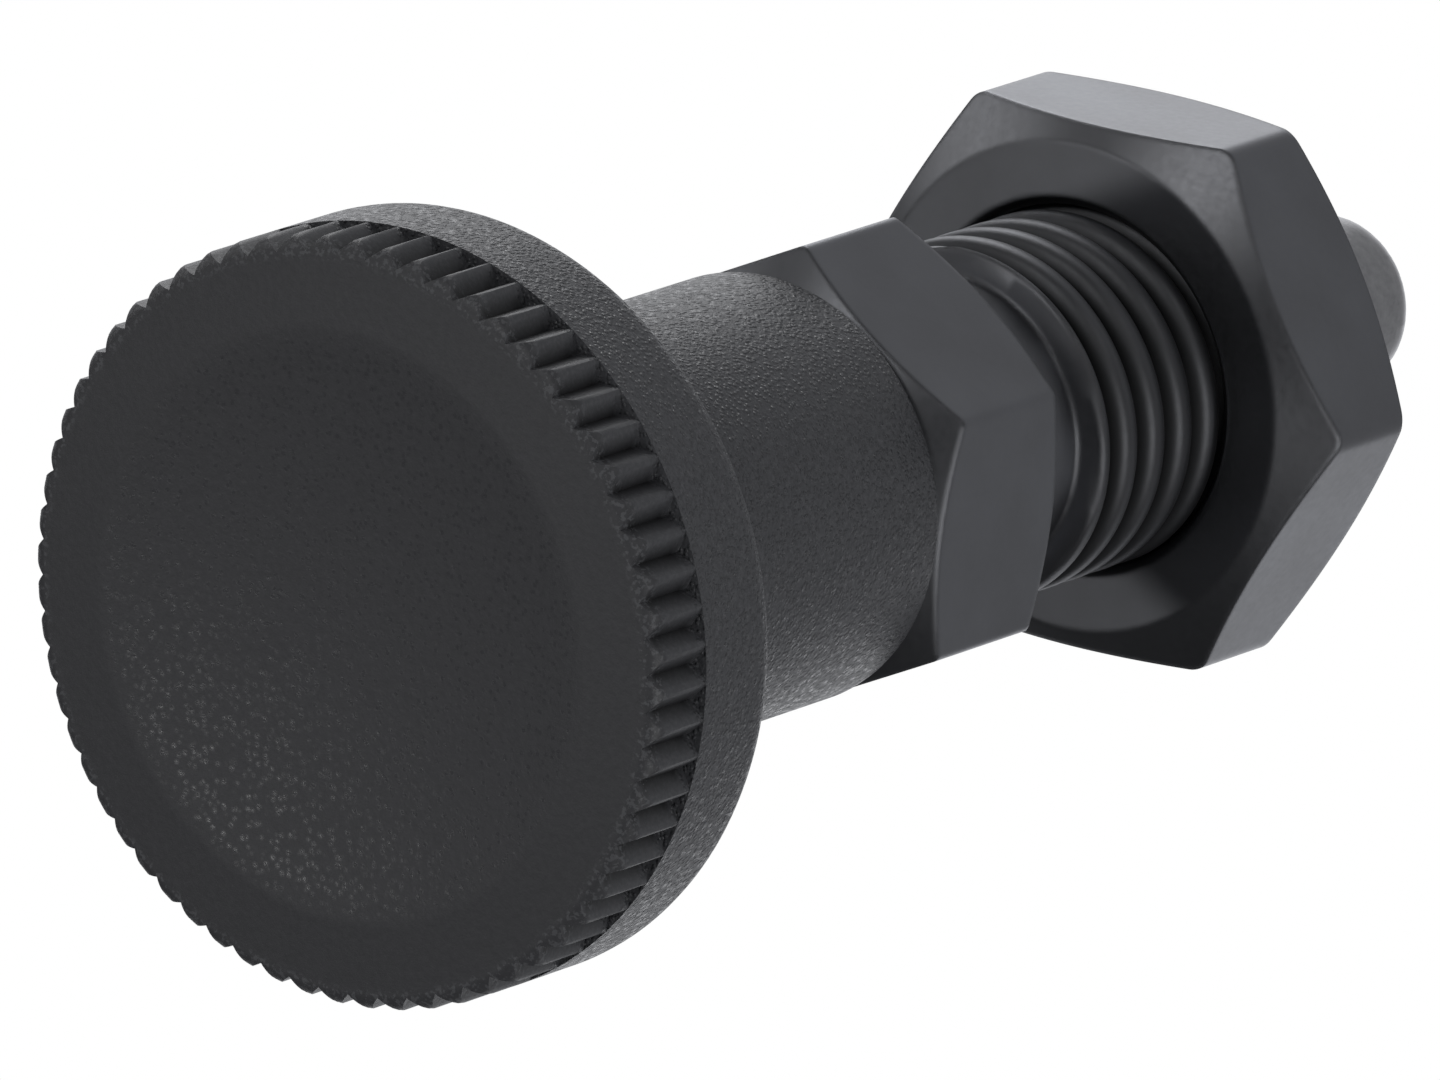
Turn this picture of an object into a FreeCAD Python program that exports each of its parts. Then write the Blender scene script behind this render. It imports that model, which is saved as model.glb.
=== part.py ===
import FreeCAD, Part
import os
import Sketcher

# Indexing plunger: a spring-loaded pin in a threaded guide with a hexagonal collar, pulled by a moulded
# knob and locked by a thin hexagonal nut. Millimetres and degrees.
# The axis is Y. The origin is on the axis, in the collar's face toward the nut. The knob is on the -Y side,
# the pin points to +Y, and the collar has a corner at the top (+Z).

SIZES = (
    ("thread_diameter", 12.0, "Outer diameter of the guide's thread"),
    ("thread_pitch", 1.5, "Pitch of the thread"),
    ("thread_length", 20.0, "Collar face to the guide's end"),
    ("undercut_length", 3.6, "Length of the groove between collar and thread"),
    ("collar_across_flats", 14.0, "Hexagonal collar, across flats"),
    ("collar_length", 6.5, "Hexagonal collar, along the axis"),
    ("collar_face_diameter", 13.3, "Circle where the collar's end chamfers begin"),
    ("chamfer_angle", 30.0, "End chamfers of collar and nut, from the end face"),
    ("barrel_diameter", 10.0, "Round barrel that carries the knob's sleeve"),
    ("barrel_length", 12.5, "Collar to the barrel's free end"),
    ("end_wall", 2.0, "Barrel wall that the spring pushes against"),
    ("edge_break", 0.3, "Small chamfer on turned edges"),
    ("pin_diameter", 6.0, "Locking pin"),
    ("pin_reach", 6.0, "Pin in front of the guide's end at rest, and the stroke"),
    ("pin_guided_length", 14.0, "Pin inside the guide at rest"),
    ("pin_tip_radius", 1.5, "Rounding of the pin's tip"),
    ("shank_diameter", 3.2, "Thin shank inside the spring"),
    ("press_diameter", 3.6, "Knurled end of the shank, pressed into the knob"),
    ("press_length", 6.0, "Length pressed into the knob"),
    ("press_knurl_depth", 0.15, "Depth of the notches on the pressed end"),
    ("press_knurl_count", 18, "Notches on the pressed end"),
    ("spring_wire", 0.6, "Spring wire"),
    ("spring_diameter", 4.9, "Mean diameter of the spring's coils"),
    ("spring_turns", 8.5, "Turns from seat to seat"),
    ("pin_clearance", 0.03, "Running gap around the pin, on the radius"),
    ("shank_clearance", 0.08, "Running gap around the shank, on the radius"),
    ("sleeve_clearance", 0.08, "Running gap between barrel and sleeve, on the radius"),
    ("thread_clearance", 0.05, "Gap between thread and nut, on the radius"),
    ("barrel_end_gap", 0.5, "Barrel's end to the bottom of the knob's socket at rest"),
    ("nut_across_flats", 17.7, "Lock nut, across flats"),
    ("nut_height", 5.7, "Lock nut, along the axis"),
    ("nut_face_diameter", 16.4, "Circle where the nut's end chamfers begin"),
    ("nut_gap", 10.2, "Collar face to the lock nut at rest"),
    ("nut_turn", 26.0, "Turn of the nut's hexagon from the collar's"),
    ("nut_mouth", 0.3, "Countersink at each end of the nut's thread"),
    ("sleeve_diameter", 14.2, "Knob's sleeve outside"),
    ("sleeve_edge_break", 0.25, "Broken edge of the sleeve's end"),
    ("sleeve_root", 0.5, "Bevel between sleeve and flange"),
    ("knob_diameter", 25.0, "Knob's flange and the crests of its grip"),
    ("knob_length", 22.4, "Collar to the knob's front face"),
    ("flange_length", 3.85, "Smooth flange behind the grip"),
    ("grip_length", 2.75, "Toothed grip in front of the flange"),
    ("flange_edge_radius", 1.0, "Rounding of the flange's rear edge"),
    ("grip_edge_radius", 1.2, "Rounding of the grip's front edge"),
    ("grip_teeth", 64, "Teeth around the grip"),
    ("grip_depth", 0.5, "Depth of the valleys between the teeth"),
    ("grip_crest", 0.12, "Width of a tooth's crest"),
    ("dish_diameter", 19.0, "Rim of the hollow in the knob's front face"),
    ("dish_depth", 0.6, "Depth of that hollow"),
)

# Radii and places along the axis that follow from the sizes, each written once. Every sketch uses these.
PLACES = (
    ("thread_radius", "sizes.thread_diameter / 2"),
    ("undercut_radius", "sizes.thread_diameter / 2 - 0.6 * sizes.thread_pitch"),
    ("undercut_end", "sizes.undercut_length"),
    ("thread_start", "sizes.undercut_length + 0.2 * sizes.thread_pitch"),
    ("thread_end", "sizes.thread_length"),
    ("thread_chamfer_start", "sizes.thread_length - 0.6 * sizes.thread_pitch"),
    ("collar_front", "-sizes.collar_length"),
    ("collar_middle", "-sizes.collar_length / 2"),
    ("collar_face_radius", "sizes.collar_face_diameter / 2"),
    ("collar_cut_radius", "0.6 * sizes.collar_across_flats"),
    ("collar_cut_depth", "(0.6 * sizes.collar_across_flats - sizes.collar_face_diameter / 2)"
     " * tan(sizes.chamfer_angle)"),
    ("collar_front_cut", "-sizes.collar_length + (0.6 * sizes.collar_across_flats"
     " - sizes.collar_face_diameter / 2) * tan(sizes.chamfer_angle)"),
    ("barrel_radius", "sizes.barrel_diameter / 2"),
    ("barrel_end", "-sizes.collar_length - sizes.barrel_length"),
    ("barrel_edge_radius", "sizes.barrel_diameter / 2 - sizes.edge_break"),
    ("barrel_edge_end", "-sizes.collar_length - sizes.barrel_length + sizes.edge_break"),
    ("spring_seat", "-sizes.collar_length - sizes.barrel_length + sizes.end_wall"),
    ("bore_radius", "sizes.pin_diameter / 2 + sizes.pin_clearance"),
    ("bore_mouth_radius", "sizes.pin_diameter / 2 + sizes.pin_clearance + sizes.edge_break"),
    ("bore_mouth_end", "sizes.thread_length - sizes.edge_break"),
    ("shank_hole_radius", "sizes.shank_diameter / 2 + sizes.shank_clearance"),
    ("pin_radius", "sizes.pin_diameter / 2"),
    ("pin_tip", "sizes.thread_length + sizes.pin_reach"),
    ("pin_shoulder", "sizes.thread_length - sizes.pin_guided_length"),
    ("shank_radius", "sizes.shank_diameter / 2"),
    ("press_radius", "sizes.press_diameter / 2"),
    ("press_root_radius", "sizes.press_diameter / 2 - sizes.press_knurl_depth"),
    ("press_notch_radius", "sizes.press_diameter / 2 + 0.1 * sizes.press_knurl_depth"),
    ("press_notch_half", "1.1 * sizes.press_knurl_depth"),
    ("socket_floor", "-sizes.collar_length - sizes.barrel_length - sizes.barrel_end_gap"),
    ("pin_back", "-sizes.collar_length - sizes.barrel_length - sizes.barrel_end_gap - sizes.press_length"),
    ("wire_outer", "sizes.spring_diameter / 2 + 0.55 * sizes.spring_wire"),
    ("wire_outer_side", "sizes.spring_diameter / 2 + 0.275 * sizes.spring_wire"),
    ("wire_inner_side", "sizes.spring_diameter / 2 - 0.275 * sizes.spring_wire"),
    ("wire_inner", "sizes.spring_diameter / 2 - 0.55 * sizes.spring_wire"),
    ("wire_near", "-sizes.collar_length - sizes.barrel_length + sizes.end_wall"
     " - 0.55 * cos(30 deg) * sizes.spring_wire"),
    ("wire_far", "-sizes.collar_length - sizes.barrel_length + sizes.end_wall"
     " + 0.55 * cos(30 deg) * sizes.spring_wire"),
    ("below_spring_seat", "-sizes.collar_length - sizes.barrel_length + sizes.end_wall - sizes.spring_wire"),
    ("above_pin_shoulder", "sizes.thread_length - sizes.pin_guided_length + sizes.spring_wire"),
    ("spring_length", "sizes.thread_length - sizes.pin_guided_length + sizes.collar_length"
     " + sizes.barrel_length - sizes.end_wall"),
    ("nut_face_radius", "sizes.nut_face_diameter / 2"),
    ("nut_cut_radius", "0.6 * sizes.nut_across_flats"),
    ("nut_cut_depth", "(0.6 * sizes.nut_across_flats - sizes.nut_face_diameter / 2)"
     " * tan(sizes.chamfer_angle)"),
    ("nut_far_cut", "sizes.nut_height - (0.6 * sizes.nut_across_flats - sizes.nut_face_diameter / 2)"
     " * tan(sizes.chamfer_angle)"),
    ("nut_height", "sizes.nut_height"),
    ("nut_near_mouth_end", "sizes.nut_mouth"),
    ("nut_far_mouth_end", "sizes.nut_height - sizes.nut_mouth"),
    ("nut_bore_radius", "sizes.thread_diameter / 2 + sizes.thread_clearance"),
    ("nut_mouth_radius", "sizes.thread_diameter / 2 + sizes.thread_clearance + sizes.nut_mouth"),
    ("sleeve_radius", "sizes.sleeve_diameter / 2"),
    ("sleeve_end", "-sizes.collar_length"),
    ("sleeve_edge_radius", "sizes.sleeve_diameter / 2 - sizes.sleeve_edge_break"),
    ("sleeve_edge_start", "-sizes.collar_length - sizes.sleeve_edge_break"),
    ("sleeve_root_radius", "sizes.sleeve_diameter / 2 + sizes.sleeve_root"),
    ("sleeve_root_end", "-sizes.collar_length - sizes.knob_length + sizes.grip_length"
     " + sizes.flange_length + sizes.sleeve_root"),
    ("socket_radius", "sizes.barrel_diameter / 2 + sizes.sleeve_clearance"),
    ("socket_mouth_radius", "sizes.barrel_diameter / 2 + sizes.sleeve_clearance + sizes.edge_break"),
    ("socket_mouth_end", "-sizes.collar_length - sizes.edge_break"),
    ("knob_radius", "sizes.knob_diameter / 2"),
    ("knob_front", "-sizes.collar_length - sizes.knob_length"),
    ("grip_face_radius", "sizes.knob_diameter / 2 - sizes.grip_edge_radius"),
    ("grip_slope_radius", "sizes.knob_diameter / 2 - sizes.grip_edge_radius * (1 - sin(30 deg))"),
    ("grip_slope_end", "-sizes.collar_length - sizes.knob_length"
     " + sizes.grip_edge_radius * (1 - cos(30 deg))"),
    ("grip_shoulder_radius", "sizes.knob_diameter / 2 - sizes.grip_edge_radius * (1 - cos(30 deg))"),
    ("grip_shoulder_end", "-sizes.collar_length - sizes.knob_length"
     " + sizes.grip_edge_radius * (1 - sin(30 deg))"),
    ("grip_edge_end", "-sizes.collar_length - sizes.knob_length + sizes.grip_edge_radius"),
    ("grip_root_radius", "sizes.knob_diameter / 2 - sizes.grip_depth"),
    ("grip_valley_radius", "sizes.knob_diameter / 2 + 0.1 * sizes.grip_depth"),
    ("grip_valley_half", "0.55 * (pi * sizes.knob_diameter / sizes.grip_teeth - sizes.grip_crest)"),
    ("flange_edge_start", "-sizes.collar_length - sizes.knob_length + sizes.grip_length"
     " + sizes.flange_length - sizes.flange_edge_radius"),
    ("flange_shoulder_radius", "sizes.knob_diameter / 2 - sizes.flange_edge_radius * (1 - cos(30 deg))"),
    ("flange_shoulder_start", "-sizes.collar_length - sizes.knob_length + sizes.grip_length"
     " + sizes.flange_length - sizes.flange_edge_radius * (1 - sin(30 deg))"),
    ("flange_slope_radius", "sizes.knob_diameter / 2 - sizes.flange_edge_radius * (1 - sin(30 deg))"),
    ("flange_slope_start", "-sizes.collar_length - sizes.knob_length + sizes.grip_length"
     " + sizes.flange_length - sizes.flange_edge_radius * (1 - cos(30 deg))"),
    ("flange_face_radius", "sizes.knob_diameter / 2 - sizes.flange_edge_radius"),
    ("flange_back", "-sizes.collar_length - sizes.knob_length + sizes.grip_length + sizes.flange_length"),
    ("dish_radius", "sizes.dish_diameter / 2"),
    ("dish_slope_radius", "0.75 * sizes.dish_diameter / 2"),
    ("dish_slope_end", "-sizes.collar_length - sizes.knob_length + 0.44 * sizes.dish_depth"),
    ("dish_middle_radius", "0.5 * sizes.dish_diameter / 2"),
    ("dish_middle_end", "-sizes.collar_length - sizes.knob_length + 0.77 * sizes.dish_depth"),
    ("dish_floor_radius", "0.2 * sizes.dish_diameter / 2"),
    ("dish_floor", "-sizes.collar_length - sizes.knob_length + sizes.dish_depth"),
)

document = FreeCAD.newDocument("indexing_plunger")


def make_sheet():
    """The driving sizes, one to a row: what it is, then its value under its name."""
    sheet = document.addObject("Spreadsheet::Sheet", "sizes")
    for row, (name, value, meaning) in enumerate(SIZES, start=1):
        sheet.set(f"A{row}", meaning)
        sheet.set(f"B{row}", str(value))
        sheet.setAlias(f"B{row}", name)
    document.recompute()
    return sheet


def make_places():
    """The worked-out radii and places, each tied to the sheet."""
    places = document.addObject("App::VarSet", "places")
    for name, formula in PLACES:
        places.addProperty("App::PropertyFloat", name)
        places.setExpression(name, formula)
    document.recompute()
    return places


sheet = make_sheet()
places = make_places()


def value_of(name):
    """Present value of a place, or of a place with a leading minus sign."""
    if name.startswith("-"):
        return -value_of(name[1:])
    if name == "0":
        return 0.0
    return places.getPropertyByName(name)


def tied(name):
    """The formula that ties a sketch dimension to a place."""
    return "-places." + name[1:] if name.startswith("-") else "places." + name


def new_body(name):
    body = document.addObject("PartDesign::Body", name)
    body.Label = name
    return body


def origin_feature(body, role):
    return next(feature for feature in body.Origin.OriginFeatures if feature.Role == role)


def new_sketch(body, name, role="XY_Plane"):
    """A sketch on a plane of the body: XY_Plane holds half sections, XZ_Plane looks along the axis."""
    sketch = body.newObject("Sketcher::SketchObject", name)
    sketch.AttachmentSupport = [(origin_feature(body, role), "")]
    sketch.MapMode = "FlatFace"
    return sketch


def fix_point(sketch, edge, end, x, y):
    """Tie one end of an edge to two places; a place named 0 lies on the sketch's own axis."""
    for kind, name, axis in (("DistanceX", x, -2), ("DistanceY", y, -1)):
        if name == "0":
            sketch.addConstraint(Sketcher.Constraint("PointOnObject", edge, end, axis))
        else:
            index = sketch.addConstraint(Sketcher.Constraint(kind, edge, end, value_of(name)))
            sketch.setExpression(f"Constraints[{index}]", tied(name))


def draw_outline(sketch, corners):
    """A closed outline of straight edges through corners given as pairs of places."""
    points = [FreeCAD.Vector(value_of(x), value_of(y), 0) for x, y in corners]
    count = len(points)
    edges = [
        sketch.addGeometry(Part.LineSegment(points[i], points[(i + 1) % count]), False)
        for i in range(count)
    ]
    for i, edge in enumerate(edges):
        sketch.addConstraint(Sketcher.Constraint("Coincident", edge, 2, edges[(i + 1) % count], 1))
    for edge, (x, y) in zip(edges, corners):
        fix_point(sketch, edge, 1, x, y)


def turn_feature(body, kind, name, sketch):
    """Revolution or Groove of a half section all the way round the axis."""
    feature = body.newObject(kind, name)
    feature.Profile = sketch
    feature.ReferenceAxis = (sketch, ["V_Axis"])
    feature.Angle = 360
    body.Tip = feature
    document.recompute()
    return feature


def turned(body, name, corners):
    sketch = new_sketch(body, name + "_section")
    draw_outline(sketch, corners)
    return turn_feature(body, "PartDesign::Revolution", name, sketch)


def grooved(body, name, corners):
    sketch = new_sketch(body, name + "_section")
    draw_outline(sketch, corners)
    return turn_feature(body, "PartDesign::Groove", name, sketch)


def hexagon_pad(body, name, across_flats, length, toward_pin):
    """A hexagonal prism with two flats facing +X and -X, from the plane y = 0."""
    sketch = new_sketch(body, name + "_outline", "XZ_Plane")
    half = float(sheet.getPropertyByName(across_flats)) / 2
    start = FreeCAD.Vector(half, -half * 3 ** -0.5, 0)
    turn = FreeCAD.Rotation(FreeCAD.Vector(0, 0, 1), 60)
    corners = [start]
    for _ in range(5):
        corners.append(turn.multVec(corners[-1]))
    sides = [
        sketch.addGeometry(Part.LineSegment(corners[i], corners[(i + 1) % 6]), False)
        for i in range(6)
    ]
    circle = sketch.addGeometry(
        Part.Circle(FreeCAD.Vector(0, 0, 0), FreeCAD.Vector(0, 0, 1), start.Length), True
    )
    sketch.addConstraint(Sketcher.Constraint("Coincident", circle, 3, -1, 1))
    for i, side in enumerate(sides):
        sketch.addConstraint(Sketcher.Constraint("Coincident", side, 2, sides[(i + 1) % 6], 1))
        sketch.addConstraint(Sketcher.Constraint("PointOnObject", side, 1, circle))
    for side in sides[1:]:
        sketch.addConstraint(Sketcher.Constraint("Equal", sides[0], side))
    sketch.addConstraint(Sketcher.Constraint("Vertical", sides[0]))
    width = sketch.addConstraint(Sketcher.Constraint("DistanceX", sides[0], 1, half))
    sketch.setExpression(f"Constraints[{width}]", f"sizes.{across_flats} / 2")
    pad = body.newObject("PartDesign::Pad", name)
    pad.Profile = sketch
    pad.setExpression("Length", f"sizes.{length}")
    pad.Reversed = toward_pin
    body.Tip = pad
    document.recompute()
    return pad


def end_chamfer(body, name, face_radius, cut_radius, face, cut_end):
    """Cone cut off the corners of a hexagon at one end face."""
    return grooved(body, name, [(face_radius, face), (cut_radius, face), (cut_radius, cut_end)])


def rounded(body, name, radius, edge_radius, station):
    """Rounds or fillets the full circle of the given radius that lies at a place along the axis."""
    base = body.Tip
    names = [
        f"Edge{number}"
        for number, edge in enumerate(base.Shape.Edges, start=1)
        if isinstance(edge.Curve, Part.Circle)
        and abs(edge.Curve.Radius - value_of(edge_radius)) < 1e-4
        and abs(edge.Curve.Center.y - value_of(station)) < 1e-4
    ]
    fillet = body.newObject("PartDesign::Fillet", name)
    fillet.Base = (base, names)
    fillet.setExpression("Radius", f"sizes.{radius}")
    body.Tip = fillet
    document.recompute()
    return fillet


def axial_teeth(body, name, count, root, top, half_width, start, length):
    """V valleys along the axis, evenly spaced, so that teeth stand between them.

    One valley is cut from a place along the axis toward the pin and repeated round the axis. It lies half a
    step from +X, so that a crest points at +X.
    """
    sketch = new_sketch(body, name + "_valley", "XZ_Plane")
    draw_outline(sketch, [(root, "0"), (top, half_width), (top, "-" + half_width)])
    sketch.AttachmentOffset = FreeCAD.Placement(
        FreeCAD.Vector(0, 0, -value_of(start)), FreeCAD.Rotation(FreeCAD.Vector(0, 0, 1), 1)
    )
    sketch.setExpression("AttachmentOffset.Base.z", f"-places.{start}")
    sketch.setExpression("AttachmentOffset.Rotation.Angle", f"180 / sizes.{count}")
    before = body.Tip.Shape.Volume
    valley = body.newObject("PartDesign::Pocket", name + "_valley_cut")
    valley.Profile = sketch
    valley.setExpression("Length", f"sizes.{length}")
    body.Tip = valley
    document.recompute()
    if valley.Shape.Volume >= before:
        raise RuntimeError(name + ": the valley cuts nothing")
    pattern = body.newObject("PartDesign::PolarPattern", name)
    pattern.Originals = [valley]
    pattern.Axis = (origin_feature(body, "Y_Axis"), [""])
    pattern.Angle = 360
    pattern.setExpression("Occurrences", f"sizes.{count}")
    body.Tip = pattern
    document.recompute()
    return pattern


def make_threaded_guide():
    """Hexagonal collar on a round stem: barrel toward the knob, undercut and thread toward the pin."""
    body = new_body("threaded_guide")
    hexagon_pad(body, "collar", "collar_across_flats", "collar_length", False)
    end_chamfer(body, "collar_rear_chamfer", "collar_face_radius", "collar_cut_radius", "0",
                "-collar_cut_depth")
    end_chamfer(body, "collar_front_chamfer", "collar_face_radius", "collar_cut_radius", "collar_front",
                "collar_front_cut")
    turned(body, "stem", [
        ("0", "barrel_end"),
        ("barrel_edge_radius", "barrel_end"),
        ("barrel_radius", "barrel_edge_end"),
        ("barrel_radius", "collar_middle"),
        ("undercut_radius", "collar_middle"),
        ("undercut_radius", "undercut_end"),
        ("thread_radius", "thread_start"),
        ("thread_radius", "thread_chamfer_start"),
        ("undercut_radius", "thread_end"),
        ("0", "thread_end"),
    ])
    grooved(body, "pin_bore", [
        ("0", "thread_end"),
        ("bore_mouth_radius", "thread_end"),
        ("bore_radius", "bore_mouth_end"),
        ("bore_radius", "spring_seat"),
        ("shank_hole_radius", "spring_seat"),
        ("shank_hole_radius", "barrel_end"),
        ("0", "barrel_end"),
    ])
    return body


def make_plunger_pin():
    """Round-tipped locking pin with a shoulder for the spring, a thin shank and a knurled end."""
    body = new_body("plunger_pin")
    turned(body, "pin_profile", [
        ("0", "pin_back"),
        ("press_radius", "pin_back"),
        ("press_radius", "socket_floor"),
        ("shank_radius", "socket_floor"),
        ("shank_radius", "pin_shoulder"),
        ("pin_radius", "pin_shoulder"),
        ("pin_radius", "pin_tip"),
        ("0", "pin_tip"),
    ])
    rounded(body, "pin_tip_rounding", "pin_tip_radius", "pin_radius", "pin_tip")
    axial_teeth(body, "press_knurl", "press_knurl_count", "press_root_radius", "press_notch_radius",
                "press_notch_half", "pin_back", "press_length")
    return body


def make_lock_nut():
    """Thin hexagonal nut, chamfered on both faces, with its thread as a plain bore."""
    body = new_body("lock_nut")
    hexagon_pad(body, "nut_hexagon", "nut_across_flats", "nut_height", True)
    end_chamfer(body, "nut_near_chamfer", "nut_face_radius", "nut_cut_radius", "0", "nut_cut_depth")
    end_chamfer(body, "nut_far_chamfer", "nut_face_radius", "nut_cut_radius", "nut_height", "nut_far_cut")
    grooved(body, "nut_bore", [
        ("0", "0"),
        ("nut_mouth_radius", "0"),
        ("nut_bore_radius", "nut_near_mouth_end"),
        ("nut_bore_radius", "nut_far_mouth_end"),
        ("nut_mouth_radius", "nut_height"),
        ("0", "nut_height"),
    ])
    body.Placement = FreeCAD.Placement(
        FreeCAD.Vector(0, 1, 0), FreeCAD.Rotation(FreeCAD.Vector(0, 1, 0), 1)
    )
    body.setExpression("Placement.Base.y", "sizes.nut_gap")
    body.setExpression("Placement.Rotation.Angle", "sizes.nut_turn")
    return body


def make_knob():
    """One moulding: sleeve over the barrel, smooth flange, toothed grip and hollow front face.

    Its rounded edges and the shallow hollow follow their arcs in three straight steps, to keep them light.
    """
    body = new_body("knob")
    turned(body, "knob_profile", [
        ("0", "knob_front"),
        ("grip_face_radius", "knob_front"),
        ("grip_slope_radius", "grip_slope_end"),
        ("grip_shoulder_radius", "grip_shoulder_end"),
        ("knob_radius", "grip_edge_end"),
        ("knob_radius", "flange_edge_start"),
        ("flange_shoulder_radius", "flange_shoulder_start"),
        ("flange_slope_radius", "flange_slope_start"),
        ("flange_face_radius", "flange_back"),
        ("sleeve_root_radius", "flange_back"),
        ("sleeve_radius", "sleeve_root_end"),
        ("sleeve_radius", "sleeve_edge_start"),
        ("sleeve_edge_radius", "sleeve_end"),
        ("0", "sleeve_end"),
    ])
    grooved(body, "socket", [
        ("0", "sleeve_end"),
        ("socket_mouth_radius", "sleeve_end"),
        ("socket_radius", "socket_mouth_end"),
        ("socket_radius", "socket_floor"),
        ("press_radius", "socket_floor"),
        ("press_radius", "pin_back"),
        ("0", "pin_back"),
    ])
    grooved(body, "dish", [
        ("0", "knob_front"),
        ("dish_radius", "knob_front"),
        ("dish_slope_radius", "dish_slope_end"),
        ("dish_middle_radius", "dish_middle_end"),
        ("dish_floor_radius", "dish_floor"),
        ("0", "dish_floor"),
    ])
    axial_teeth(body, "grip", "grip_teeth", "grip_root_radius", "grip_valley_radius", "grip_valley_half",
                "knob_front", "grip_length")
    return body


def make_spring():
    """Compression spring from the barrel's end wall to the pin's shoulder, its ends ground flat.

    The wire's section is a hexagon with the area of the round wire, which keeps the coils light.
    """
    body = new_body("spring")
    sketch = new_sketch(body, "wire_section")
    draw_outline(sketch, [
        ("wire_outer", "spring_seat"),
        ("wire_outer_side", "wire_far"),
        ("wire_inner_side", "wire_far"),
        ("wire_inner", "spring_seat"),
        ("wire_inner_side", "wire_near"),
        ("wire_outer_side", "wire_near"),
    ])
    coils = body.newObject("PartDesign::AdditiveHelix", "coils")
    coils.Profile = sketch
    coils.ReferenceAxis = (sketch, ["V_Axis"])
    coils.Mode = "height-turns-angle"
    coils.Height = value_of("spring_length")
    coils.Turns = float(sheet.getPropertyByName("spring_turns"))
    coils.setExpression("Height", "places.spring_length")
    coils.setExpression("Turns", "sizes.spring_turns")
    body.Tip = coils
    document.recompute()
    grooved(body, "ground_end_at_wall", [
        ("0", "spring_seat"),
        ("bore_radius", "spring_seat"),
        ("bore_radius", "below_spring_seat"),
        ("0", "below_spring_seat"),
    ])
    grooved(body, "ground_end_at_shoulder", [
        ("0", "pin_shoulder"),
        ("bore_radius", "pin_shoulder"),
        ("bore_radius", "above_pin_shoulder"),
        ("0", "above_pin_shoulder"),
    ])
    return body


def check_and_write(bodies):
    """Stop if any object failed, then write each piece to a file with its own name."""
    document.recompute()
    for thing in document.Objects:
        if "Invalid" in thing.State or "Error" in thing.State:
            raise RuntimeError(f"{thing.Name} failed: {thing.State}")
    os.makedirs("parts", exist_ok=True)
    for body in bodies:
        shape = body.Shape
        if shape.isNull() or not shape.isValid() or len(shape.Solids) != 1:
            raise RuntimeError(f"{body.Label} is not one valid solid")
        shape.exportStep(f"parts/{body.Label}.step")
        box = shape.BoundBox
        print(f"{body.Label}: {shape.Volume:.1f} mm3, y {box.YMin:.2f} to {box.YMax:.2f}")


check_and_write([
    make_threaded_guide(),
    make_plunger_pin(),
    make_spring(),
    make_lock_nut(),
    make_knob(),
])
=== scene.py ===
import math

import bpy
import numpy as np
from mathutils import Matrix, Vector


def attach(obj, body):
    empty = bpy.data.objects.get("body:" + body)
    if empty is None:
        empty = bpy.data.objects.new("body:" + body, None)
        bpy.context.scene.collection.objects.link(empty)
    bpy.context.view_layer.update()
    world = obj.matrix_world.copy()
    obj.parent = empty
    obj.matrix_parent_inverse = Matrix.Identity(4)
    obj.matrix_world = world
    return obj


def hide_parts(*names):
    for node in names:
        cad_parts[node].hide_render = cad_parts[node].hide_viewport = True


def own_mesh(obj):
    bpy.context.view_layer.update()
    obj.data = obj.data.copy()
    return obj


# Looks of the indexing plunger. Lengths are written in millimetres and turned into metres by MM.
# The axis is Y: the knob lies toward -Y, the pin points to +Y, and +Z is up.
MM = 0.001

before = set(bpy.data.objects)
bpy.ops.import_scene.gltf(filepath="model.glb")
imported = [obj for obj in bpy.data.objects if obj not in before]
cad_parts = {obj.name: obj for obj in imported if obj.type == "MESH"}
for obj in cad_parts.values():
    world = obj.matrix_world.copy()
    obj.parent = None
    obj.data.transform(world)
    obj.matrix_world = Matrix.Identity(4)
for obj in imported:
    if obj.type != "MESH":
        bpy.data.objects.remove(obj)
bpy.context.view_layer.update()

# Guide
THREAD_RADIUS = 6.0
THREAD_PITCH = 1.5
THREAD_DEPTH = 0.92
THREAD_START = 3.6
THREAD_END = 20.0
THREAD_PHASES = (0.0, 0.05, 0.22, 0.27, 0.34, 0.43, 0.57, 0.66, 0.73, 0.78, 0.95)
THREAD_FALLS = (1.0, 0.94, 0.28, 0.12, 0.04, 0.0, 0.0, 0.04, 0.12, 0.28, 0.94)
FIRST_CREST = 4.05
START_SLOPE = 0.3
END_CHAMFER = 0.9
UNDERCUT_RADIUS = 5.1
COLLAR_FLATS = 14.0
COLLAR_FACE_RADIUS = 6.65
COLLAR_FRONT = -6.5
COLLAR_CORNER = 90.0
COLLAR_ROUNDING = 0.3
BARREL_RADIUS = 5.0
BARREL_END = -19.0
BORE_RADIUS = 3.03
SHANK_HOLE_RADIUS = 1.68
SPRING_SEAT = -17.0
EDGE_BREAK = 0.3

# Lock nut
NUT_FLATS = 17.7
NUT_FACE_RADIUS = 8.2
NUT_NEAR = 10.22
NUT_FAR = 15.9
NUT_CORNER = 64.0
NUT_ROUNDING = 0.8
NUT_BORE_RADIUS = 6.05
NUT_MOUTH = 0.3

# Collar and nut: their chamfers rise at 30 degrees, and that edge has to stay sharp
END_CHAMFER_ANGLE = 30.0
SHARP_ANGLE = 29.0

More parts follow.
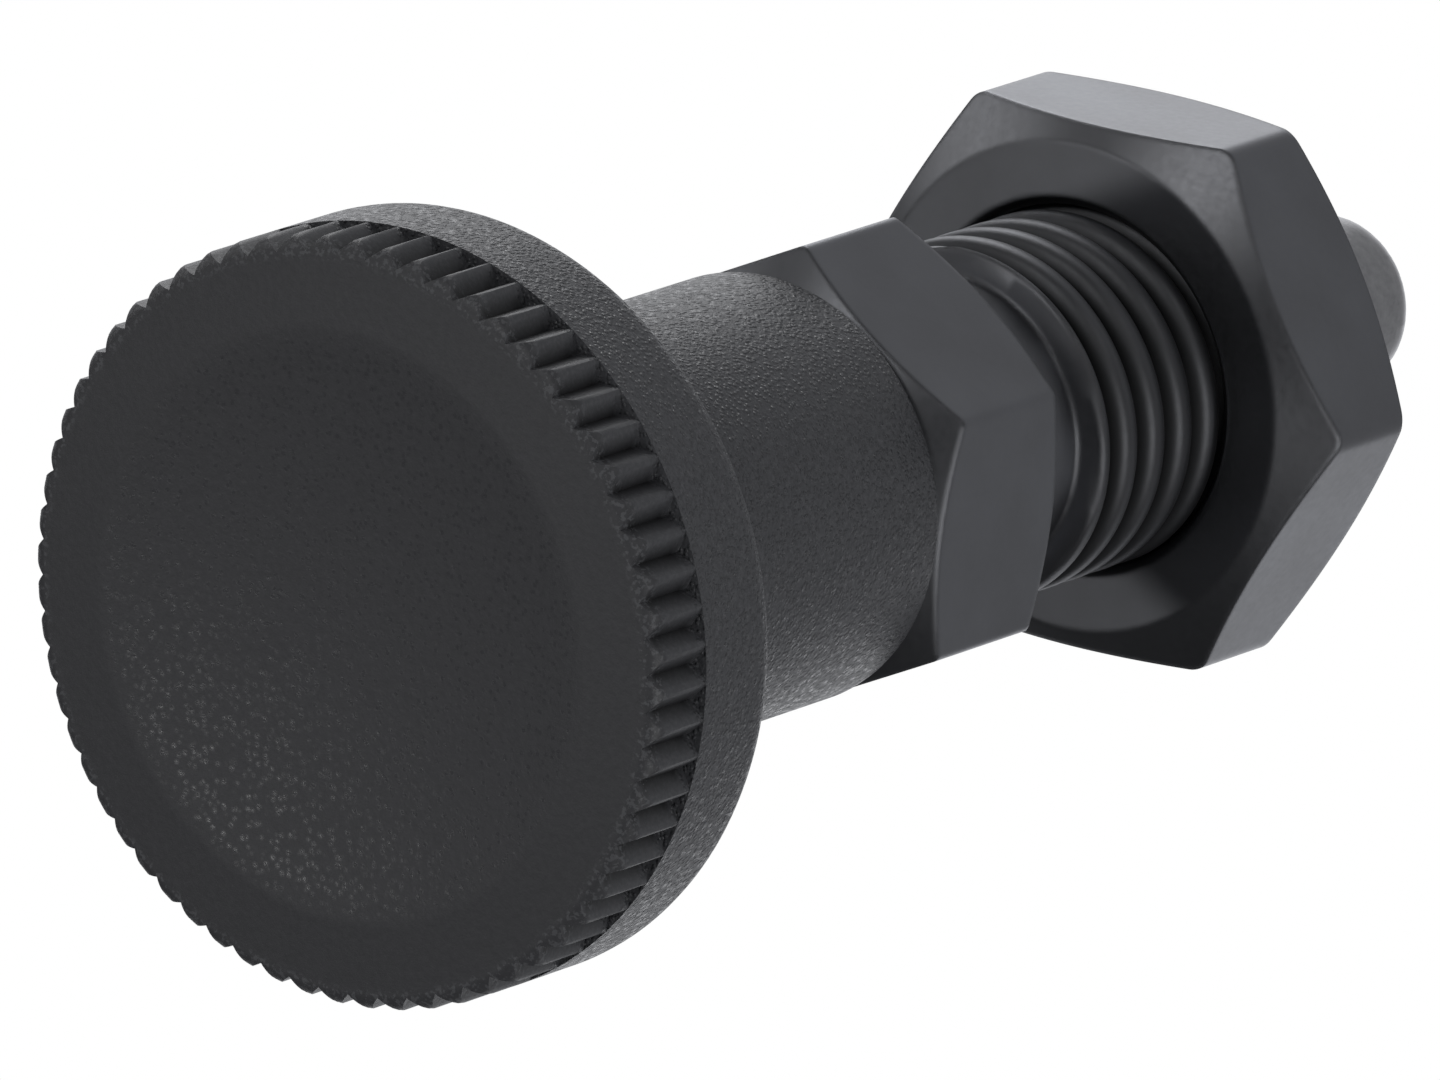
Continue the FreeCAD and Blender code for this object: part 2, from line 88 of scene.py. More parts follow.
# Knob
KNOB_RADIUS = 12.5
KNOB_FRONT = -28.8
GRIP_END = -26.15
FLANGE_BACK = -22.3
GRIP_EDGE_RADIUS = 0.6
FACE_FALL = 0.17
FLANGE_EDGE_RADIUS = 1.0
GRIP_TEETH = 64
GRIP_DEPTH = 0.5
GRIP_CREST = 0.12
STEPS_PER_TOOTH = 12
DISH_RADIUS = 9.5
DISH_DEPTH = 0.45
SLEEVE_RADIUS = 7.1
SLEEVE_END = -6.5
SLEEVE_ROOT = 0.7
SLEEVE_EDGE = 0.25
SOCKET_RADIUS = 5.08
SOCKET_FLOOR = -19.5
KNOB_SHARP_ANGLE = 24.0

# Spring
SPRING_RADIUS = 2.45
WIRE_RADIUS = 0.3
SPRING_TURNS = 8.5
SPRING_LENGTH = 23.0
SPRING_SHARP_ANGLE = 30.0

# Steps of the meshes: round the axis, across a hexagon's flat and its rounded edge, along the
# dish, and round the spring's coil and wire
LATHE_STEPS = 128
FLAT_STEPS = 41
EDGE_STEPS = 9
THREAD_STEPS = 180
DISH_STEPS = 14
COIL_STEPS_PER_TURN = 36
WIRE_STEPS = 12

# Where the looks change: stations along the axis and distances from it, from one value to the other
FACE_STATIONS = (-28.25, -28.1)
TEETH_STATIONS = (KNOB_FRONT + 0.35, KNOB_FRONT + 0.7)
COARSE_STATIONS = (-26.6, -26.2)
FRONT_EDGE_STATIONS = (-27.9, -28.2)
FRONT_EDGE_RADII = (11.7, 11.9)
BACK_EDGE_STATIONS = (-22.85, -22.6)
BACK_EDGE_RADII = (11.75, 12.0)
DISH_RADII = (DISH_RADIUS - 0.2, DISH_RADIUS)
RIM_RADII = (KNOB_RADIUS - 1.5, KNOB_RADIUS - 1.2)
GAP_RADII = (KNOB_RADIUS - GRIP_DEPTH, KNOB_RADIUS - 0.1)
THREAD_STATIONS = (THREAD_START + 0.2, THREAD_START + 0.5)
THREAD_RADII = (THREAD_RADIUS, THREAD_RADIUS + 0.05)
VALLEY_RADII = (THREAD_RADIUS - 0.5, THREAD_RADIUS - 0.02)

# Camera fitted to the photo: a long lens, 800 mm from the collar
PHOTO_SIZE = (1440, 1080)
VIEW_DIRECTION = Vector((-0.54464639, 0.77454115, -0.32163072))
VIEW_RIGHT = Vector((0.79265134, 0.6006888, 0.10429199))
VIEW_UP = Vector((-0.2739784, 0.19813877, 0.94110407))
CAMERA_DISTANCE = 800.0
PIXELS_PER_MM = 30.906
ORIGIN_PIXEL = (883.449, 447.916)
SENSOR_WIDTH = 36.0

# Light: strengths of the surroundings, and the direction of the bright floor and left side
FRONT_LIGHT = 0.045
BACK_LIGHT = 0.34
WALL_LIGHT = 0.8
BRIGHT_SIDE = (-0.85, 0.0, -0.43)


# Meshes


def mesh_object(name, points, faces, sharp):
    """A smooth-shaded mesh from points in millimetres, with edges over an angle kept sharp."""
    mesh = bpy.data.meshes.new(name)
    mesh.from_pydata((np.asarray(points) * MM).tolist(), [], faces)
    mesh.validate()
    mesh.polygons.foreach_set("use_smooth", [True] * len(mesh.polygons))
    mesh.set_sharp_from_angle(angle=math.radians(sharp))
    thing = bpy.data.objects.new(name, mesh)
    bpy.context.scene.collection.objects.link(thing)
    return thing


def ring_points(angles, radii, stations):
    """Points round the axis: one row for each angle, one column for each station of the profile."""
    turn = np.radians(angles)[:, None]
    return np.stack([radii * np.cos(turn), stations + 0 * turn, radii * np.sin(turn)], axis=-1)


def skin(rows, closed, first):
    """Quads over a grid of points, round the axis in rows and along the profile in columns."""
    count, width = rows.shape[:2]
    faces = []
    for i in range(count if closed else count - 1):
        a = first + i * width
        b = first + (i + 1) % count * width
        for j in range(width - 1):
            faces.append((a + j, a + j + 1, b + j + 1, b + j))
    return faces


def joined(name, grids, sharp):
    """One mesh from several grids, each a pair of points and whether it closes round the axis."""
    points = []
    faces = []
    total = 0
    for grid, closed in grids:
        faces += skin(grid, closed, total)
        points.append(grid.reshape(-1, 3))
        total += grid.shape[0] * grid.shape[1]
    return mesh_object(name, np.concatenate(points), faces, sharp)


def lathe(profile):
    """Grid for a profile of (radius, station) pairs turned round the axis."""
    angles = np.arange(LATHE_STEPS) * 360.0 / LATHE_STEPS
    radii = np.array([r for r, _ in profile])[None, :]
    stations = np.array([y for _, y in profile])[None, :]
    return ring_points(angles, radii + 0 * angles[:, None], stations)


def hexagon_side(across_flats, corner, rounding):
    """Angles round a hexagon with rounded edges, and how far its side is from the axis."""
    apothem = across_flats / 2
    inner = apothem - rounding
    tangent = math.degrees(math.atan(inner * math.tan(math.radians(30.0)) / apothem))
    flat = np.linspace(-tangent, tangent, FLAT_STEPS)
    flat_radii = apothem / np.cos(np.radians(flat))
    edge = np.linspace(tangent, 60.0 - tangent, EDGE_STEPS)[1:-1]
    from_edge = np.radians(edge - 30.0)
    centre = inner / math.cos(math.radians(30.0))
    beyond_centre = np.sqrt(rounding ** 2 - (centre * np.sin(from_edge)) ** 2)
    edge_radii = centre * np.cos(from_edge) + beyond_centre
    angles = np.concatenate([flat, edge])
    radii = np.concatenate([flat_radii, edge_radii])
    first = corner + 30.0
    return np.concatenate([first + 60.0 * i + angles for i in range(6)]), np.tile(radii, 6)


def hexagon_body(across_flats, corner, rounding, face_radius, near, far, inner_near, inner_far):
    """Grid for a hexagonal prism with both ends chamfered, from its inner edge to its inner edge.

    The chamfer is a cone, so it climbs further along the prism at a corner than on a flat.
    """
    angles, side = hexagon_side(across_flats, corner, rounding)
    drop = (side - face_radius) * math.tan(math.radians(END_CHAMFER_ANGLE))
    flat = np.ones_like(side)
    radii = [flat * inner_near[0], flat * face_radius]
    stations = [flat * inner_near[1], flat * near]
    for share in (0.5, 1.0):
        radii.append(face_radius + (side - face_radius) * share)
        stations.append(near + drop * share)
    for share in (1.0, 0.5):
        radii.append(face_radius + (side - face_radius) * share)
        stations.append(far - drop * share)
    radii += [flat * face_radius, flat * inner_far[0]]
    stations += [flat * far, flat * inner_far[1]]
    turn = np.radians(angles)
    radii = np.stack(radii, axis=1)
    stations = np.stack(stations, axis=1)
    return np.stack(
        [radii * np.cos(turn)[:, None], stations, radii * np.sin(turn)[:, None]], axis=-1
    )


def arc(centre, radius, start, end, count):
    """Points on an arc in the (radius, station) plane, degrees from +radius toward +station."""
    return [
        (centre[0] + radius * math.cos(angle), centre[1] + radius * math.sin(angle))
        for angle in map(math.radians, np.linspace(start, end, count))
    ]


# Pieces


def thread_grid():
    """The right-hand thread, as a grid that follows the helix, cut by the runs at both ends."""
    turns = range(-2, int((THREAD_END - THREAD_START) / THREAD_PITCH) + 3)
    along = np.concatenate([turn + np.array(THREAD_PHASES) for turn in turns])
    fall = np.tile(THREAD_FALLS, len(turns))
    angles = np.linspace(0.0, 360.0, THREAD_STEPS + 1)
    lead = -THREAD_PITCH * angles[:, None] / 360.0
    stations = FIRST_CREST + (along[None, :] - 0.5) * THREAD_PITCH + lead
    stations = np.clip(stations, THREAD_START, THREAD_END)
    radii = THREAD_RADIUS - THREAD_DEPTH * fall[None, :] + 0 * stations
    start_share = (stations - THREAD_START) / START_SLOPE
    start_limit = UNDERCUT_RADIUS + start_share * (THREAD_RADIUS - UNDERCUT_RADIUS)
    end_limit = THREAD_RADIUS - (stations - (THREAD_END - END_CHAMFER))
    radii = np.minimum(radii, np.minimum(np.maximum(start_limit, UNDERCUT_RADIUS), end_limit))
    return ring_points(angles, radii, stations)


def make_guide():
    """Barrel, hexagonal collar, undercut, thread and bore in one turned piece."""
    bore_mouth = BORE_RADIUS + EDGE_BREAK
    grids = [
        (lathe([
            (SHANK_HOLE_RADIUS, BARREL_END),
            (BARREL_RADIUS - EDGE_BREAK, BARREL_END),
            (BARREL_RADIUS, BARREL_END + EDGE_BREAK),
            (BARREL_RADIUS, COLLAR_FRONT),
        ]), True),
        (hexagon_body(
            COLLAR_FLATS, COLLAR_CORNER, COLLAR_ROUNDING, COLLAR_FACE_RADIUS, COLLAR_FRONT, 0.0,
            (BARREL_RADIUS, COLLAR_FRONT), (UNDERCUT_RADIUS + EDGE_BREAK, 0.0),
        ), True),
        (lathe(
            arc((UNDERCUT_RADIUS + EDGE_BREAK, EDGE_BREAK), EDGE_BREAK, 270, 180, 5)
            + [(UNDERCUT_RADIUS, THREAD_START)]
        ), True),
        (thread_grid(), False),
        (lathe([
            (THREAD_RADIUS - END_CHAMFER, THREAD_END),
            (bore_mouth, THREAD_END),
            (BORE_RADIUS, THREAD_END - EDGE_BREAK),
            (BORE_RADIUS, SPRING_SEAT),
            (SHANK_HOLE_RADIUS, SPRING_SEAT),
            (SHANK_HOLE_RADIUS, BARREL_END),
        ]), True),
    ]
    return joined("guide_form", grids, SHARP_ANGLE)


def make_nut():
    """Thin hexagonal nut with a countersunk mouth at each end of its thread."""
    mouth = NUT_BORE_RADIUS + NUT_MOUTH
    grids = [
        (hexagon_body(
            NUT_FLATS, NUT_CORNER, NUT_ROUNDING, NUT_FACE_RADIUS, NUT_NEAR, NUT_FAR,
            (mouth, NUT_NEAR), (mouth, NUT_FAR),
        ), True),
        (lathe([
            (mouth, NUT_FAR),
            (NUT_BORE_RADIUS, NUT_FAR - NUT_MOUTH),
            (NUT_BORE_RADIUS, NUT_NEAR + NUT_MOUTH),
            (mouth, NUT_NEAR),
        ]), True),
    ]
    return joined("nut_form", grids, SHARP_ANGLE)


def knob_profile(valley_radius):
    """Outline of the knob in a plane through the axis, for one depth of the grip's valley."""
    edge_centre = (KNOB_RADIUS - GRIP_EDGE_RADIUS, KNOB_FRONT + FACE_FALL + GRIP_EDGE_RADIUS)
    ball = (DISH_RADIUS ** 2 + DISH_DEPTH ** 2) / (2 * DISH_DEPTH)
    profile = []
    for radius in np.linspace(0.0, DISH_RADIUS, DISH_STEPS):
        profile.append((radius, KNOB_FRONT + DISH_DEPTH - ball + math.sqrt(ball ** 2 - radius ** 2)))
    profile += [(DISH_RADIUS + 0.25, KNOB_FRONT), (edge_centre[0] - 0.1, KNOB_FRONT + FACE_FALL)]
    reach = (valley_radius - edge_centre[0]) / GRIP_EDGE_RADIUS
    last = 270.0 + math.degrees(math.asin(min(1.0, reach)))
    profile += arc(edge_centre, GRIP_EDGE_RADIUS, 270.0, last, 12)
    profile += [
        (valley_radius, (profile[-1][1] + GRIP_END) / 2),
        (valley_radius, GRIP_END),
        (KNOB_RADIUS, GRIP_END),
        (KNOB_RADIUS, FLANGE_BACK - FLANGE_EDGE_RADIUS),
    ]
    flange_centre = (KNOB_RADIUS - FLANGE_EDGE_RADIUS, FLANGE_BACK - FLANGE_EDGE_RADIUS)
    profile += arc(flange_centre, FLANGE_EDGE_RADIUS, 0, 90, 9)[1:]
    profile += arc((SLEEVE_RADIUS + SLEEVE_ROOT, FLANGE_BACK + SLEEVE_ROOT), SLEEVE_ROOT, 270, 180, 7)
    profile += [(SLEEVE_RADIUS, (FLANGE_BACK + SLEEVE_END) / 2)]
    profile += arc((SLEEVE_RADIUS - SLEEVE_EDGE, SLEEVE_END - SLEEVE_EDGE), SLEEVE_EDGE, 0, 90, 5)
    profile += [
        (SOCKET_RADIUS + EDGE_BREAK, SLEEVE_END),
        (SOCKET_RADIUS, SLEEVE_END - EDGE_BREAK),
        (SOCKET_RADIUS, SOCKET_FLOOR),
        (0.0, SOCKET_FLOOR),
    ]
    return profile


def make_knob():
    """Knob with its toothed grip: its outline changes round each tooth with the valley's depth."""
    pitch = 2 * math.pi * KNOB_RADIUS / GRIP_TEETH
    flank = (pitch - GRIP_CREST) / 2
    steps = GRIP_TEETH * STEPS_PER_TOOTH
    angles = np.arange(steps) * 360.0 / steps
    rows = []
    for step, angle in enumerate(angles):
        share = step % STEPS_PER_TOOTH / STEPS_PER_TOOTH
        from_crest = min(share, 1 - share) * pitch
        depth = GRIP_DEPTH * min(1.0, max(0.0, from_crest - GRIP_CREST / 2) / flank)
        radii, stations = np.array(knob_profile(KNOB_RADIUS - depth)).T
        rows.append(ring_points(np.array([angle]), radii, stations)[0])
    return joined("knob_form", [(np.array(rows), True)], KNOB_SHARP_ANGLE)


def make_spring():
    """Round-wire coil between the barrel's end wall and the pin's shoulder."""
    coil_steps = int(SPRING_TURNS * COIL_STEPS_PER_TURN)
    lowest = SPRING_SEAT + WIRE_RADIUS
    rows = []
    for step in range(coil_steps + 1):
        share = step / coil_steps
        turn = 2 * math.pi * SPRING_TURNS * share
        middle = lowest + (SPRING_LENGTH - 2 * WIRE_RADIUS) * share
        out = np.array([math.cos(turn), 0.0, math.sin(turn)])
        rows.append([
            out * (SPRING_RADIUS + WIRE_RADIUS * math.cos(angle))
            + np.array([0, middle + WIRE_RADIUS * math.sin(angle), 0])
            for angle in np.linspace(0, 2 * math.pi, WIRE_STEPS + 1)
        ])
    return joined("spring_form", [(np.array(rows), False)], SPRING_SHARP_ANGLE)


# Materials


def new_material(name):
    """A new material with its nodes, its links and its Principled shader."""
    material = bpy.data.materials.new(name)
    material.use_nodes = True
    nodes = material.node_tree.nodes
    shader = next(node for node in nodes if node.type == "BSDF_PRINCIPLED")
    return material, nodes, material.node_tree.links, shader


def grain(nodes, links, scale, detail, roughness):
    """Noise in the object's own space, with a scale in cells for each millimetre."""
    place = nodes.new("ShaderNodeTexCoord")
    noise = nodes.new("ShaderNodeTexNoise")
    noise.inputs["Scale"].default_value = scale / MM
    noise.inputs["Detail"].default_value = detail
    noise.inputs["Roughness"].default_value = roughness
    links.new(place.outputs["Object"], noise.inputs["Vector"])
    return noise.outputs["Fac"]


def spread(nodes, links, value, low, high, dark, bright):
    """Colour ramp from dark at a low value to bright at a high one."""
    ramp = nodes.new("ShaderNodeValToRGB")
    ramp.color_ramp.elements[0].position = low
    ramp.color_ramp.elements[0].color = (*dark, 1)
    ramp.color_ramp.elements[1].position = high
    ramp.color_ramp.elements[1].color = (*bright, 1)
    links.new(value, ramp.inputs["Fac"])
    return ramp.outputs["Color"]


def set_range(node, low, high, to_low, to_high):
    """Set both ranges of a Map Range node."""
    for socket, number in (
        ("From Min", low), ("From Max", high), ("To Min", to_low), ("To Max", to_high),
    ):
        node.inputs[socket].default_value = number


def in_range(nodes, links, value, low, high, to_low, to_high):
    """Map a value from one range to another, clamped."""
    node = nodes.new("ShaderNodeMapRange")
    set_range(node, low, high, to_low, to_high)
    links.new(value, node.inputs["Value"])
    return node.outputs["Result"]


def past(nodes, links, measure, limits, before=0.0, after=1.0):
    """A share that changes between two limits in millimetres along the axis or away from it."""
    return in_range(nodes, links, measure, limits[0] * MM, limits[1] * MM, before, after)


def combined(nodes, links, operation, first, second):
    """Product, sum, larger or smaller of two values."""
    node = nodes.new("ShaderNodeMath")
    node.operation = operation
    links.new(first, node.inputs[0])
    links.new(second, node.inputs[1])
    return node.outputs["Value"]


def blended(nodes, links, share, first, second):
    """Colour that goes from the first to the second with a share. The second may be plain numbers."""
    node = nodes.new("ShaderNodeMix")
    node.data_type = "RGBA"
    links.new(share, node.inputs["Factor"])
    links.new(first, node.inputs["A"])
    if isinstance(second, tuple):
        node.inputs["B"].default_value = (*second, 1)
    else:
        links.new(second, node.inputs["B"])
    return node.outputs["Result"]


def places(nodes, links):
    """Station along the axis and distance from it, in metres, in the object's own space."""
    place = nodes.new("ShaderNodeTexCoord")
    axes = nodes.new("ShaderNodeSeparateXYZ")
    links.new(place.outputs["Object"], axes.inputs["Vector"])
    flat = nodes.new("ShaderNodeVectorMath")
    flat.operation = "MULTIPLY"
    flat.inputs[1].default_value = (1, 0, 1)
    links.new(place.outputs["Object"], flat.inputs[0])
    radius = nodes.new("ShaderNodeVectorMath")
    radius.operation = "LENGTH"
    links.new(flat.outputs["Vector"], radius.inputs[0])
    return axes.outputs["Y"], radius.outputs["Value"]


def bump(nodes, links, height, distance, strength, base=None):
    """Normals tilted by a height map, over other normals if they are given."""
    node = nodes.new("ShaderNodeBump")
    node.inputs["Distance"].default_value = distance * MM
    node.inputs["Strength"].default_value = strength
    links.new(height, node.inputs["Height"])
    if base is not None:
        links.new(base, node.inputs["Normal"])
    return node.outputs["Normal"]


def worn_edge(nodes, radius):
    """Normals as if each edge had a small radius, so that edges catch the light."""
    node = nodes.new("ShaderNodeBevel")
    node.samples = 6
    node.inputs["Radius"].default_value = radius * MM
    return node.outputs["Normal"]


def speckle(nodes, links, cells, size):
    """Sparse bright specks: near 1 in a few small spots of the object's space, 0 elsewhere."""
    place = nodes.new("ShaderNodeTexCoord")
    spots = nodes.new("ShaderNodeTexVoronoi")
    spots.inputs["Scale"].default_value = cells / MM
    links.new(place.outputs["Object"], spots.inputs["Vector"])
    return in_range(nodes, links, spots.outputs["Distance"], size, size * 0.4, 0.0, 1.0)


def black_plastic():
    """Moulded plastic: fine grain on the front face, coarse and sparkling on flange and sleeve."""
    material, nodes, links, shader = new_material("black_plastic")
    station, radius = places(nodes, links)
    fine = grain(nodes, links, 4.0, 3.0, 0.7)
    rugged = grain(nodes, links, 7.0, 2.0, 0.6)
    broad = grain(nodes, links, 0.6, 2.0, 0.5)

    # Colour: the front face, and all that lies behind it
    face_colour = spread(
        nodes, links, fine, 0.35, 0.75, (0.076, 0.0766, 0.0828), (0.09, 0.0908, 0.098)
    )
    side_colour = spread(
        nodes, links, rugged, 0.42, 0.66, (0.088, 0.09, 0.0975), (0.112, 0.1145, 0.124)
    )
    behind_face = past(nodes, links, station, FACE_STATIONS)
    colour = blended(nodes, links, behind_face, face_colour, side_colour)

    # Painted shade: the gaps between the teeth are darkened toward their floor, where shade falls
    behind_grip = past(nodes, links, station, COARSE_STATIONS)
    near_crest = past(nodes, links, radius, GAP_RADII)
    depth_shade = in_range(nodes, links, near_crest, 0.0, 1.0, 0.85, 0.0)
    painted_gap_shade = combined(
        nodes, links, "MINIMUM", depth_shade, past(nodes, links, station, TEETH_STATIONS)
    )
    painted_gap_shade = combined(nodes, links, "MULTIPLY", painted_gap_shade, past(nodes, links, radius, RIM_RADII))
    before_flange = in_range(nodes, links, behind_grip, 0.0, 1.0, 1.0, 0.0)
    painted_gap_shade = combined(nodes, links, "MULTIPLY", painted_gap_shade, before_flange)
    colour = blended(nodes, links, painted_gap_shade, colour, (0.006, 0.006, 0.0065))

    # The front edge and the flange's rear edge are lightened in speckled places; on the flange's rear
    # edge this is a painted highlight, where the rounding catches the light
    back_edge = combined(
        nodes, links, "MULTIPLY",
        past(nodes, links, station, BACK_EDGE_STATIONS), past(nodes, links, radius, BACK_EDGE_RADII),
    )
    front_edge = combined(
        nodes, links, "MULTIPLY",
        past(nodes, links, station, FRONT_EDGE_STATIONS),
        past(nodes, links, radius, FRONT_EDGE_RADII),
    )
    edges = combined(nodes, links, "MAXIMUM", back_edge, front_edge)
    speckled_spots = in_range(nodes, links, grain(nodes, links, 6.0, 2.0, 0.6), 0.52, 0.6, 0.0, 1.0)
    edge_spots_and_highlight = combined(nodes, links, "MULTIPLY", edges, speckled_spots)
    # Lighter speckled spots on the edges, a painted highlight on the flange's rear edge
    colour = blended(nodes, links, edge_spots_and_highlight, colour, (0.14, 0.143, 0.153))
    links.new(colour, shader.inputs["Base Color"])

    # Small smooth spots sparkle in the dish, on the flange and on the sleeve
    in_dish = past(nodes, links, radius, DISH_RADII, 1.0, 0.0)
    sparkling = combined(nodes, links, "MAXIMUM", in_dish, behind_grip)
    specks = combined(nodes, links, "MULTIPLY", speckle(nodes, links, 3.6, 0.5), sparkling)
    links.new(in_range(nodes, links, specks, 0.0, 1.0, 0.48, 0.24), shader.inputs["Roughness"])
    shader.inputs["Specular IOR Level"].default_value = 0.5

    ripple = bump(nodes, links, broad, 0.05, 0.12)
    fine_normal = bump(nodes, links, fine, 0.04, 0.35, ripple)
    pits = combined(nodes, links, "ADD", rugged, speckle(nodes, links, 5.5, 0.5))
    height = combined(nodes, links, "MULTIPLY", pits, behind_grip)
    links.new(bump(nodes, links, height, 0.06, 0.8, fine_normal), shader.inputs["Normal"])
    return material


def blackened_steel():
    """Steel with a thin black oxide: dark and faintly blue, with softened edges, and painted shade on
    the thread, deepest in its valleys.
    """
    material, nodes, links, shader = new_material("blackened_steel")
    station, radius = places(nodes, links)
    fine = grain(nodes, links, 4.0, 4.0, 0.6)
    cloud = grain(nodes, links, 0.25, 3.0, 0.5)
    colour = spread(nodes, links, cloud, 0.35, 0.7, (0.19, 0.193, 0.205), (0.215, 0.22, 0.235))
    # Painted shade on the thread: darkened toward near black, most in the valleys and less on the
    # crests, where the flanks shade each other
    on_thread = combined(
        nodes, links, "MULTIPLY",
        past(nodes, links, station, THREAD_STATIONS),
        past(nodes, links, radius, THREAD_RADII, 1.0, 0.0),
    )
    thread_shade_by_depth = past(nodes, links, radius, VALLEY_RADII, 0.85, 0.3)
    painted_thread_shade = combined(nodes, links, "MULTIPLY", on_thread, thread_shade_by_depth)
    colour = blended(nodes, links, painted_thread_shade, colour, (0.02, 0.02, 0.02))
    links.new(colour, shader.inputs["Base Color"])
    shader.inputs["Metallic"].default_value = 1.0
    rough = in_range(nodes, links, fine, 0.3, 0.7, 0.36, 0.42)
    rougher = in_range(nodes, links, on_thread, 0.0, 1.0, 0.0, 0.12)
    links.new(combined(nodes, links, "ADD", rough, rougher), shader.inputs["Roughness"])
    links.new(bump(nodes, links, fine, 0.02, 0.12, worn_edge(nodes, 0.3)), shader.inputs["Normal"])
    return material


def plain_steel(name, dark, bright, rough_low, rough_high):
    """Uncoated steel, ground or drawn."""
    material, nodes, links, shader = new_material(name)
    fine = grain(nodes, links, 3.0, 4.0, 0.6)
    links.new(spread(nodes, links, fine, 0.3, 0.7, dark, bright), shader.inputs["Base Color"])
    shader.inputs["Metallic"].default_value = 1.0
    links.new(in_range(nodes, links, fine, 0.3, 0.7, rough_low, rough_high), shader.inputs["Roughness"])
    links.new(bump(nodes, links, fine, 0.01, 0.2), shader.inputs["Normal"])
    return material


def dress(thing, material):
    """Give an object one material."""
    thing.data.materials.clear()
    thing.data.materials.append(material)


# Stage


def place_camera():
    """Camera at the fitted place and directions, shifted so that the origin falls on its pixel."""
    data = bpy.data.cameras.new("camera")
    camera = bpy.data.objects.new("camera", data)
    bpy.context.scene.collection.objects.link(camera)
    focal_pixels = PIXELS_PER_MM * CAMERA_DISTANCE
    data.sensor_width = SENSOR_WIDTH
    data.sensor_fit = "HORIZONTAL"
    data.lens = focal_pixels * SENSOR_WIDTH / PHOTO_SIZE[0]
    data.clip_start = 0.05
    data.clip_end = 10.0
    aside = (ORIGIN_PIXEL[0] - PHOTO_SIZE[0] / 2) / PIXELS_PER_MM
    above = (PHOTO_SIZE[1] / 2 - ORIGIN_PIXEL[1]) / PIXELS_PER_MM
    place = -VIEW_DIRECTION * CAMERA_DISTANCE - VIEW_RIGHT * aside - VIEW_UP * above
    turn = Matrix((VIEW_RIGHT, VIEW_UP, -VIEW_DIRECTION)).transposed().to_4x4()
    camera.matrix_world = Matrix.Translation(place * MM) @ turn
    bpy.context.scene.camera = camera


def place_lamp(name, direction, distance, size, power):
    """Square area lamp that shines on the plunger's middle from a direction."""
    data = bpy.data.lights.new(name, "AREA")
    data.shape = "SQUARE"
    data.size = size
    data.energy = power
    lamp = bpy.data.objects.new(name, data)
    bpy.context.scene.collection.objects.link(lamp)
    away = Vector(direction).normalized()
    lamp.location = away * distance
    lamp.rotation_euler = away.to_track_quat("Z", "Y").to_euler()
    return lamp


def direction_share(nodes, links, place, toward, low, high, to_low, to_high):
    """A strength that changes smoothly with how far a direction points toward a given one."""
    dot = nodes.new("ShaderNodeVectorMath")
    dot.operation = "DOT_PRODUCT"
    dot.inputs[1].default_value = toward
    links.new(place, dot.inputs[0])
    node = nodes.new("ShaderNodeMapRange")
    node.interpolation_type = "SMOOTHSTEP"
    set_range(node, low, high, to_low, to_high)
    links.new(dot.outputs["Value"], node.inputs["Value"])
    return node.outputs["Result"]


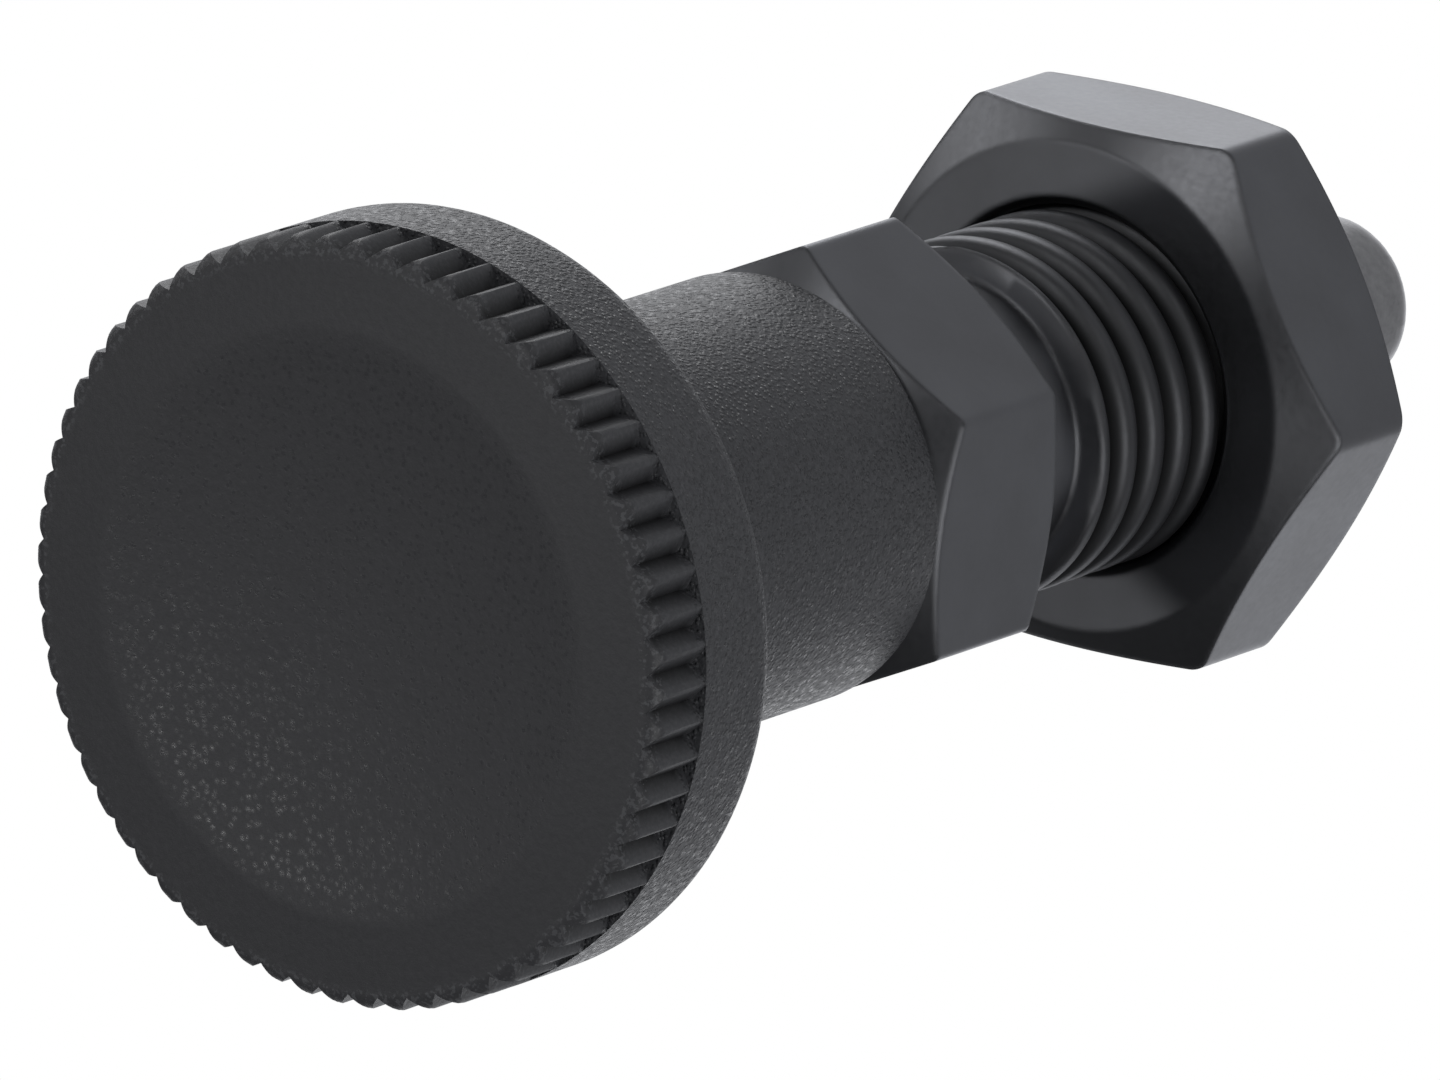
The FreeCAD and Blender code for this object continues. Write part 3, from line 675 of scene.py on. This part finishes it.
def light_world():
    """White for the camera. The object sees a dark front, a grey back, a bright floor and left."""
    world = bpy.data.worlds.new("world")
    bpy.context.scene.world = world
    world.use_nodes = True
    nodes = world.node_tree.nodes
    links = world.node_tree.links
    nodes.clear()
    path = nodes.new("ShaderNodeLightPath")
    white = nodes.new("ShaderNodeBackground")
    white.inputs["Color"].default_value = (1, 1, 1, 1)
    white.inputs["Strength"].default_value = 1.0
    place = nodes.new("ShaderNodeTexCoord").outputs["Generated"]
    back = direction_share(nodes, links, place, (0, 1, 0), 0.0, 0.65, FRONT_LIGHT, BACK_LIGHT)
    behind = direction_share(nodes, links, place, (0, 1, 0), 0.1, 0.6, 0.0, 1.0)
    bright = direction_share(nodes, links, place, BRIGHT_SIDE, -0.05, 0.35, 0.0, WALL_LIGHT)
    total = combined(nodes, links, "ADD", back, combined(nodes, links, "MULTIPLY", behind, bright))
    around = nodes.new("ShaderNodeBackground")
    around.inputs["Color"].default_value = (0.96, 0.97, 1, 1)
    links.new(total, around.inputs["Strength"])
    mix = nodes.new("ShaderNodeMixShader")
    out = nodes.new("ShaderNodeOutputWorld")
    links.new(path.outputs["Is Camera Ray"], mix.inputs["Fac"])
    links.new(around.outputs["Background"], mix.inputs[1])
    links.new(white.outputs["Background"], mix.inputs[2])
    links.new(mix.outputs["Shader"], out.inputs["Surface"])


# Build


guide = make_guide()
nut = make_nut()
knob = make_knob()
spring = make_spring()

plastic = black_plastic()
blackened = blackened_steel()
pin_steel = plain_steel("ground_steel", (0.32, 0.32, 0.33), (0.44, 0.44, 0.45), 0.3, 0.42)
wire_steel = plain_steel("spring_steel", (0.34, 0.34, 0.34), (0.46, 0.46, 0.46), 0.25, 0.35)

dress(guide, blackened)
dress(nut, blackened)
dress(knob, plastic)
dress(spring, wire_steel)
dress(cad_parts["plunger_pin"], pin_steel)

for thing, body, node, finish in (
    (guide, "guide", "threaded_guide", "blackened_steel"),
    (nut, "nut", "lock_nut", "blackened_steel"),
    (knob, "plunger", "knob", "black_plastic"),
    (spring, "turning_spring", "spring", "spring_steel"),
):
    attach(thing, body)
    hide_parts(node)

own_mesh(spring)

place_camera()
light_world()
lamps = (
    place_lamp("back_lamp", (-0.6, 0.45, 0.66), 0.6, 0.35, 0.95),
    place_lamp("key_lamp", (-0.9, -0.35, 0.25), 0.7, 0.35, 0.45),
    place_lamp("face_lamp", (-0.12, -0.8, 0.6), 0.7, 0.3, 0.55),
    place_lamp("fill_lamp", (0.8, -0.5, -0.2), 0.7, 0.4, 1.1),
    place_lamp("edge_lamp", (0.64, -0.18, 0.76), 0.7, 0.1, 0.2),
    place_lamp("glint_lamp", (-0.45, -0.88, -0.12), 0.7, 0.08, 0.24),
)

scene = bpy.context.scene
scene.view_settings.view_transform = "Standard"
